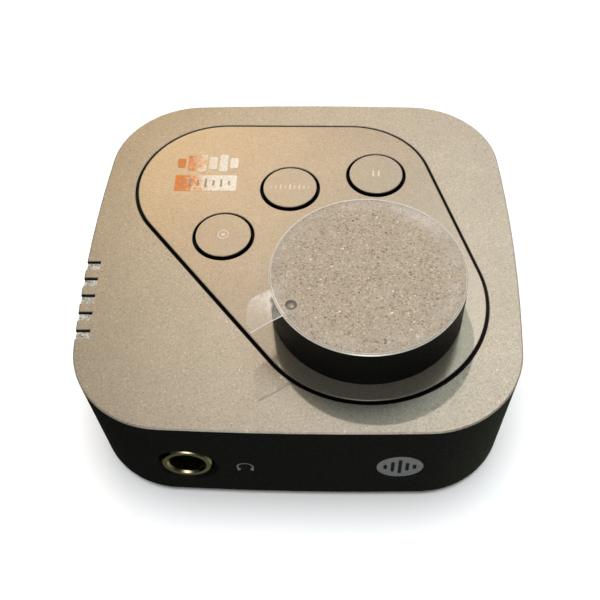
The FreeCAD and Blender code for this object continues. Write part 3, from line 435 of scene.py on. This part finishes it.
def clear_film(name):
    """Thin clear plastic: faint haze, a painted highlight crescent, and a tab with a painted highlight line
    and painted sheen; the cut edges glow faintly as painted highlights.
    """
    g = Graph(name)
    centre = centre_of("knob_cap")
    bearing = math.radians(TAB_BEARING)
    away = g.level_distance(centre)
    along = g.level_offset(centre, (math.cos(bearing), math.sin(bearing)))
    across = g.level_offset(centre, (-math.sin(bearing), math.cos(bearing)))

    # The round part: a painted highlight crescent, a haze towards the rim, faint patches and the cut edge,
    # which also gets a painted glow
    lifted = g.math("MULTIPLY", g.span(g.level_offset(centre, PAINTED_CRESCENT_WAY), 0.0, 0.36, *HAZE_RADII),
                    g.span(g.noise(2.4, 3.0), 0.5, 1.0, 0.35, 0.6))
    border = g.math("MULTIPLY", g.span(away, 0.0, 0.13, *HAZE_RADII),
                    g.span(g.noise(4.0), 0.2, 1.0, 0.4, 0.6))
    patches = g.span(g.noise(3.6, 3.0), 0.0, 0.045, 0.50, 0.75)
    from_edge = g.math("ABSOLUTE", g.math("SUBTRACT", away, FILM_RADIUS - 0.08), 0.0)
    edge = g.span(from_edge, 0.6, 0.0, 0.03, 0.10)
    haze = g.math("MAXIMUM", g.math("MAXIMUM", lifted, border), g.math("MAXIMUM", patches, edge))

    # The tab beyond the rim: a painted highlight line along its upper side and a painted sheen, broken into
    # streaks, that fades outwards
    beyond = g.span(away, 0.0, 1.0, FILM_RADIUS + 0.1, FILM_RADIUS + 0.3)
    painted_cut_line = g.span(across, 0.0, 0.8, TAB_SIDES[1] - 0.22, TAB_SIDES[1] - 0.16)
    sheen = g.math("MULTIPLY", g.span(across, 1.0, 0.25, *TAB_SIDES),
                   g.span(along, 0.62, 0.12, FILM_RADIUS + 0.6, FILM_RADIUS + 4.5))
    painted_sheen_streaks = g.span(g.noise(1.3, 3.0, 0.6, (1.6, 0.5, 1)), 0.25, 1.1, 0.35, 0.65)
    tab = g.math("MULTIPLY", beyond, g.math("MAXIMUM", painted_cut_line, g.math("MULTIPLY", sheen, painted_sheen_streaks)))

    g.link(g.math("MAXIMUM", g.math("ADD", haze, 0.03), tab), g.shader.inputs["Alpha"])
    g.colour(g.ramp(g.noise(0.7), (0.3, (0.84, 0.82, 0.78)), (0.7, (0.97, 0.96, 0.93))))
    # Painted highlight: the tab's upper cut line and the film's edge glow faintly
    lit = g.math("MAXIMUM", g.math("MULTIPLY", beyond, painted_cut_line), edge)
    g.glow(g.mix(BLACK, (1.0, 0.97, 0.92), lit, "MIX"), 0.30)
    g.rough(g.vary(0.6, 0.08, 0.2))
    g.bump(g.noise(2.6, 2.0), 0.10, 0.4)
    g.set(Specular_IOR_Level=0.6)
    return g.material


def printed_ink(name, tint, mottle=0.12):
    g = Graph(name)
    g.colour(g.mix(g.ramp(g.noise(0.25, 3.0), (0.35, 1 - mottle), (0.65, 1.0)), tint))
    g.rough(g.vary(0.3, 0.4, 0.55))
    g.bump(g.noise(0.2), 0.004, 0.4)
    return g.material


def gradient_ink(name, left, right):
    """Foil print: orange at the left edge, white at the right, broken up in between, with a faint painted
    glow of its own colour.
    """
    g = Graph(name)
    width = right - left
    broken = g.math("MULTIPLY", g.math("SUBTRACT", g.noise(1.1, 3.0, 0.7), 0.5), width * 0.9)
    along = g.math("ADD", g.axis(0), broken)
    blend = g.span(along, 0.0, 1.0, left + width * 0.12, left + width * 0.62)
    print_tint = g.ramp(blend, (0.0, (0.84, 0.27, 0.07)), (0.5, (0.92, 0.60, 0.36)),
                        (1.0, (0.93, 0.87, 0.76)))
    tint = g.mix(g.ramp(g.noise(0.45, 4.0, 0.8), (0.36, 0.72), (0.56, 1.0)), print_tint)
    g.colour(tint)
    # Painted highlight: the print glows faintly in its own colour
    g.glow(tint, 0.12)
    g.rough(g.vary(0.3, 0.3, 0.45))
    g.bump(g.noise(0.2), 0.004, 0.4)
    return g.material


def make_slot_materials():
    """One material for each of the record's slots."""
    materials = {name: moulded_plastic(name, *look) for name, look in PLASTICS.items()}
    materials.update((name, plain_metal(name, *look)) for name, look in METALS.items())
    materials.update((name, sprayed_metal(name, *look)) for name, look in SPRAYED.items())
    makers = {"foot_rubber": rubber, "knob_silver": knob_top_metal, "index_metal": index_metal,
              "clear_film": clear_film, "circuit_board": circuit_board, "light_pipe": light_pipe}
    materials.update((name, make(name)) for name, make in makers.items())
    return materials


def centre_of(node):
    """Middle of a CAD node's box, in millimetres."""
    low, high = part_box(node)
    return tuple((low + high) / 2 / MM)


# ---- Thin pieces ---------------------------------------------------------------------------------

def add_piece(name, vertices, faces, material, body, smooth=False):
    """A mesh piece in the row's frame that rides on a body."""
    mesh = bpy.data.meshes.new(name)
    mesh.from_pydata([tuple(v) for v in vertices], [], faces)
    mesh.validate()
    mesh.materials.append(material)
    piece = bpy.data.objects.new(name, mesh)
    bpy.context.scene.collection.objects.link(piece)
    for polygon in mesh.polygons:
        polygon.use_smooth = smooth
    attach(piece, body)
    return piece


def arc(x, y, radius, start, end, steps):
    """Points along a circle, angles in degrees."""
    angles = [math.radians(start + (end - start) * i / steps) for i in range(steps + 1)]
    return [(x + radius * math.cos(a), y + radius * math.sin(a)) for a in angles]


def disc(x, y, radius, points):
    """Outline of a full circle."""
    return arc(x, y, radius, 0, 360 * (points - 1) / points, points - 1)


def band(x, y, outer, inner, start, end):
    """Outline of part of a ring."""
    return arc(x, y, outer, start, end, BAND_STEPS) + arc(x, y, inner, end, start, BAND_STEPS)


def rounded_box(x, y, width, height, radius):
    """Outline of a box with round corners, about its centre."""
    across = width / 2 - radius
    along = height / 2 - radius
    points = []
    for quarter, (side, end) in enumerate(((1, 1), (-1, 1), (-1, -1), (1, -1))):
        angle = 90 * quarter
        points += arc(x + side * across, y + end * along, radius, angle, angle + 90, CORNER_STEPS)
    return points


def bar_row(x, y, pitch, width, heights, radius):
    """Outlines of upright bars side by side, about their common middle."""
    middle = (len(heights) - 1) / 2
    return [rounded_box(x + (index - middle) * pitch, y, width, height, radius)
            for index, height in enumerate(heights)]


def lay_print(name, outlines, place, material, body, lift=PRINT_LIFT):
    """Thin ink on a face: place gives the point at a height above that face, both in metres."""
    vertices, faces = [], []
    for outline in outlines:
        first = len(vertices)
        count = len(outline)
        vertices += [place(x, y, lift * MM) for x, y in outline]
        vertices += [place(x, y, (lift + PRINT_THICKNESS) * MM) for x, y in outline]
        faces.append([first + i for i in reversed(range(count))])
        faces.append([first + count + i for i in range(count)])
        for i in range(count):
            j = (i + 1) % count
            faces.append([first + i, first + j, first + count + j, first + count + i])
    add_piece(name, vertices, faces, material, body)


def on_top_of(node):
    """Points on a node's level top."""
    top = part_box(node)[1].z
    return lambda x, y, above: Vector((x * MM, y * MM, top + above))


def on_front_of(node):
    """Points on the front of a node, found by looking back at it from in front."""
    mesh = NODES[node].data
    tree = BVHTree.FromPolygons([v.co for v in mesh.vertices], [p.vertices for p in mesh.polygons])
    in_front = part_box(node)[0].y - 10 * MM

    def place(x, z, above):
        point = tree.ray_cast(Vector((x * MM, in_front, z * MM)), Vector((0, 1, 0)))[0]
        return point - Vector((0, above, 0))

    return place


# ---- Printed marks -------------------------------------------------------------------------------

def make_top_mark():
    """A generic mark on the panel: level bars of different heights over a solid block."""
    left, right = MARK_SIDES
    middle = (left + right) / 2
    place = on_top_of("control_panel")
    bars = bar_row(middle, MARK_BARS_Y, (right - left - MARK_BAR_WIDTH) / (len(MARK_BAR_HEIGHTS) - 1),
                   MARK_BAR_WIDTH, MARK_BAR_HEIGHTS, 0.45)
    block = rounded_box(middle, MARK_BLOCK_Y, right - left, MARK_BLOCK_HEIGHT, 0.35)
    ink = gradient_ink("mark_ink", left, right)
    lay_print("panel_mark", bars + [block], place, ink, "chassis")
    gaps = bar_row(middle, MARK_BLOCK_Y, 1.6, 0.42, MARK_GAP_HEIGHTS, 0.2)
    ink = printed_ink("mark_gaps", (0.50, 0.42, 0.33), 0.3)
    lay_print("panel_mark_gaps", gaps, place, ink, "chassis", PRINT_LIFT + OVERPRINT_LIFT)


def make_button_marks():
    """Faint symbols: a target on the left button, a wave on the middle one, two bars on the right one."""
    ink = printed_ink("button_ink", (0.86, 0.78, 0.66))
    left, middle, right = (centre_of(side + "_button_face")[:2] for side in ("left", "middle", "right"))
    symbols = {
        "left": [band(*left, 1.15, 0.88, 0, 350), disc(*left, 0.42, DISC_STEPS // 2)],
        "middle": bar_row(*middle, 0.95, 0.28, WAVE_HEIGHTS, 0.13),
        "right": bar_row(*right, 1.1, 0.32, (1.7, 1.7), 0.15),
    }
    for side, outlines in symbols.items():
        place = on_top_of(side + "_button_face")
        lay_print(side + "_button_mark", outlines, place, ink, side + "_push")


def make_front_marks():
    """A headphone symbol beside the socket and a round badge of level bars."""
    place = on_front_of("bottom_housing")
    grey = printed_ink("front_ink", (0.17, 0.18, 0.18))
    dark = printed_ink("front_dark", (0.006, 0.006, 0.006))
    x, z = SYMBOL_PLACE
    symbol = [band(x, z, 1.55, 1.25, -25, 205)] + bar_row(x, z - 1.0, 2.4, 0.62, (1.2, 1.2), 0.28)
    lay_print("headphone_symbol", symbol, place, grey, "chassis")
    badge = [disc(*BADGE_PLACE, BADGE_RADIUS, DISC_STEPS)]
    lay_print("badge_disc", badge, place, grey, "chassis")
    bars = bar_row(*BADGE_PLACE, 1.3, 0.62, BADGE_BAR_HEIGHTS, 0.3)
    lay_print("badge_bars", bars, place, dark, "chassis", PRINT_LIFT + OVERPRINT_LIFT)


# ---- Protective film -----------------------------------------------------------------------------

def make_film(material):
    """Round film on the knob with a pull tab that lifts at its far corner."""
    low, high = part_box("knob_cap")
    centre = (low + high) / 2
    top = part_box("knob_film")[1].z - FILM_SINK * MM
    bearing = math.radians(TAB_BEARING)
    along = Vector((math.cos(bearing), math.sin(bearing), 0))
    across = Vector((-math.sin(bearing), math.cos(bearing), 0))
    tab_low, tab_high = TAB_SIDES
    offsets = [tab_low + (tab_high - tab_low) * i / TAB_LANES for i in range(TAB_LANES + 1)]

    # The round part, as places along and across the tab's bearing, in millimetres
    tab_angles = [math.asin(v / FILM_RADIUS) for v in offsets]
    gap = 2 * math.pi - (tab_angles[-1] - tab_angles[0])
    angles = tab_angles + [tab_angles[-1] + gap * i / FILM_POINTS for i in range(1, FILM_POINTS)]
    count = len(angles)
    flat = [(0.0, 0.0)]
    for ring in range(1, FILM_RINGS + 1):
        radius = FILM_RADIUS * ring / FILM_RINGS
        flat += [(radius * math.cos(a), radius * math.sin(a)) for a in angles]
    faces = [[0, 1 + i, 1 + (i + 1) % count] for i in range(count)]
    for ring in range(FILM_RINGS - 1):
        base = 1 + ring * count
        for i in range(count):
            j = (i + 1) % count
            faces.append([base + i, base + count + i, base + count + j, base + j])

    def tab_end(v):
        """How far out the tab reaches: its far edge falls back towards the lower v."""
        far = TAB_REACH - TAB_SLANT * (1 - (v - tab_low) / (tab_high - tab_low)) ** 1.7
        side = min(v - tab_low, tab_high - v)
        if side >= TAB_CORNER:
            return far
        return far - TAB_CORNER + math.sqrt(max(TAB_CORNER ** 2 - (TAB_CORNER - side) ** 2, 0))

    def raised(u, v):
        """Height above the knob's top: the tab curls up at its lower far corner, with a slight wave."""
        out = max(u - FILM_RADIUS, 0) / (TAB_REACH - FILM_RADIUS)
        side = max((v - tab_high) / (tab_low - tab_high), 0)
        return TAB_CURL * out ** 2 * side ** 1.5 + TAB_WAVE * math.sin(out * 5.0) * out

    rim = 1 + (FILM_RINGS - 1) * count
    previous = list(range(rim, rim + TAB_LANES + 1))
    for step in range(1, TAB_ROWS + 1):
        row = list(range(len(flat), len(flat) + TAB_LANES + 1))
        for angle, v in zip(tab_angles, offsets):
            start = FILM_RADIUS * math.cos(angle)
            flat.append((start + (tab_end(v) - start) * step / TAB_ROWS, v))
        for lane in range(TAB_LANES):
            faces.append([previous[lane], row[lane], row[lane + 1], previous[lane + 1]])
        previous = row

    vertices = []
    for u, v in flat:
        vertex = centre + (along * u + across * v) * MM
        vertex.z = top + raised(u, v) * MM
        vertices.append(vertex)
    film = add_piece("film_with_tab", vertices, faces, material, "knob_assembly", smooth=True)
    sheet = film.modifiers.new("sheet", "SOLIDIFY")
    sheet.thickness = FILM_THICKNESS * MM
    sheet.offset = -1
    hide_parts("knob_film")


# ---- Floor, lights and camera --------------------------------------------------------------------

def make_floor():
    reach = FLOOR_REACH
    corners = [(-reach, -reach, 0), (reach, -reach, 0), (reach, reach, 0), (-reach, reach, 0)]
    mesh = bpy.data.meshes.new("floor")
    mesh.from_pydata(corners, [], [(0, 1, 2, 3)])
    floor = bpy.data.objects.new("floor", mesh)
    bpy.context.scene.collection.objects.link(floor)
    g = Graph("floor_white")
    g.colour(g.ramp(g.noise(400.0), (0.3, (0.90, 0.90, 0.90)), (0.7, (0.93, 0.93, 0.93))))
    g.set(Roughness=0.9, Specular_IOR_Level=0.0)
    mesh.materials.append(g.material)
    floor.visible_glossy = False
    return floor


def direction(bearing, elevation):
    """Unit vector towards a bearing, in degrees from the back (+Y) to the right (+X), and an elevation."""
    turn, rise = math.radians(bearing), math.radians(elevation)
    return Vector((math.sin(turn) * math.cos(rise), math.cos(turn) * math.cos(rise), math.sin(rise)))


def add_light(name, kind, energy, tint, place, target):
    data = bpy.data.lights.new(name, kind)
    data.energy = energy
    data.color = tint
    light = bpy.data.objects.new(name, data)
    bpy.context.scene.collection.objects.link(light)
    light.location = place
    light.rotation_euler = (target - place).to_track_quat("-Z", "Y").to_euler()
    return light


def light_only(light, piece, state):
    """INCLUDE lights nothing but the piece, EXCLUDE lights everything else."""
    receivers = bpy.data.collections.new(light.name + "_receivers")
    receivers.objects.link(piece)
    light.light_linking.receiver_collection = receivers
    receivers.collection_objects[0].light_linking.link_state = state


def make_lights(floor):
    """A small lamp behind the object, which leaves the floor alone, and a wide one for the floor."""
    aim = Vector(KEY_AIM)
    key = add_light("key", "SPOT", KEY_ENERGY, KEY_TINT,
                    aim + Vector(KEY_DIRECTION).normalized() * KEY_DISTANCE, aim)
    key.data.shadow_soft_size = KEY_RADIUS
    key.data.spot_size = math.radians(KEY_CONE)
    key.data.spot_blend = 1.0
    key.visible_glossy = False
    light_only(key, floor, "EXCLUDE")
    wash = add_light("wash", "AREA", WASH_ENERGY, WASH_TINT, Vector((0, 0, WASH_HEIGHT)), Vector((0, 0, 0)))
    wash.data.shape = "DISK"
    wash.data.size = WASH_SIZE
    light_only(wash, floor, "INCLUDE")


def make_world():
    """A dim room with soft bright areas: warm at the back left, white at the back right and in front."""
    world = bpy.data.worlds.new("studio")
    bpy.context.scene.world = world
    world.use_nodes = True
    tree = world.node_tree
    towards = tree.nodes.new("ShaderNodeTexCoord").outputs["Generated"]

    def step(kind, operation, first, second, output):
        """One sum: each input is a plain value or another node's output."""
        node = tree.nodes.new(kind)
        node.operation = operation
        for socket, value in zip(node.inputs, (first, second)):
            if isinstance(value, bpy.types.NodeSocket):
                tree.links.new(value, socket)
            else:
                socket.default_value = value
        return node.outputs[output]

    total = None
    for way, sharpness, tint in WORLD_LOBES:
        facing = step("ShaderNodeVectorMath", "DOT_PRODUCT", towards, direction(*way), "Value")
        falloff = step("ShaderNodeMath", "POWER", step("ShaderNodeMath", "MAXIMUM", facing, 0.0, "Value"),
                       sharpness, "Value")
        scale = tree.nodes.new("ShaderNodeVectorMath")
        scale.operation = "SCALE"
        scale.inputs[0].default_value = tint
        tree.links.new(falloff, scale.inputs["Scale"])
        lobe = scale.outputs["Vector"]
        total = lobe if total is None else step("ShaderNodeVectorMath", "ADD", total, lobe, "Vector")
    tree.links.new(total, tree.nodes["Background"].inputs["Color"])


def make_camera():
    data = bpy.data.cameras.new("camera")
    data.lens = CAMERA_LENS
    data.sensor_width = CAMERA_SENSOR
    data.clip_start = CAMERA_NEAR * MM
    camera = bpy.data.objects.new("camera", data)
    bpy.context.scene.collection.objects.link(camera)
    turn = (Matrix.Rotation(math.radians(-CAMERA_BEARING), 4, "Z")
            @ Matrix.Rotation(math.radians(90 - CAMERA_PITCH), 4, "X")
            @ Matrix.Rotation(math.radians(CAMERA_ROLL), 4, "Z"))
    camera.matrix_world = Matrix.Translation(CAMERA_PLACE) @ turn
    bpy.context.scene.camera = camera


# ---- Everything ----------------------------------------------------------------------------------

def dress_nodes(materials):
    """Gives every CAD node the material of its slot."""
    for node in NODES.values():
        for slot in node.material_slots:
            slot.material = materials[slot.material.name]


materials = make_slot_materials()
dress_nodes(materials)
make_top_mark()
make_button_marks()
make_front_marks()
make_film(materials["clear_film"])
make_lights(make_floor())
make_world()
make_camera()
bpy.context.scene.view_settings.view_transform = "Standard"
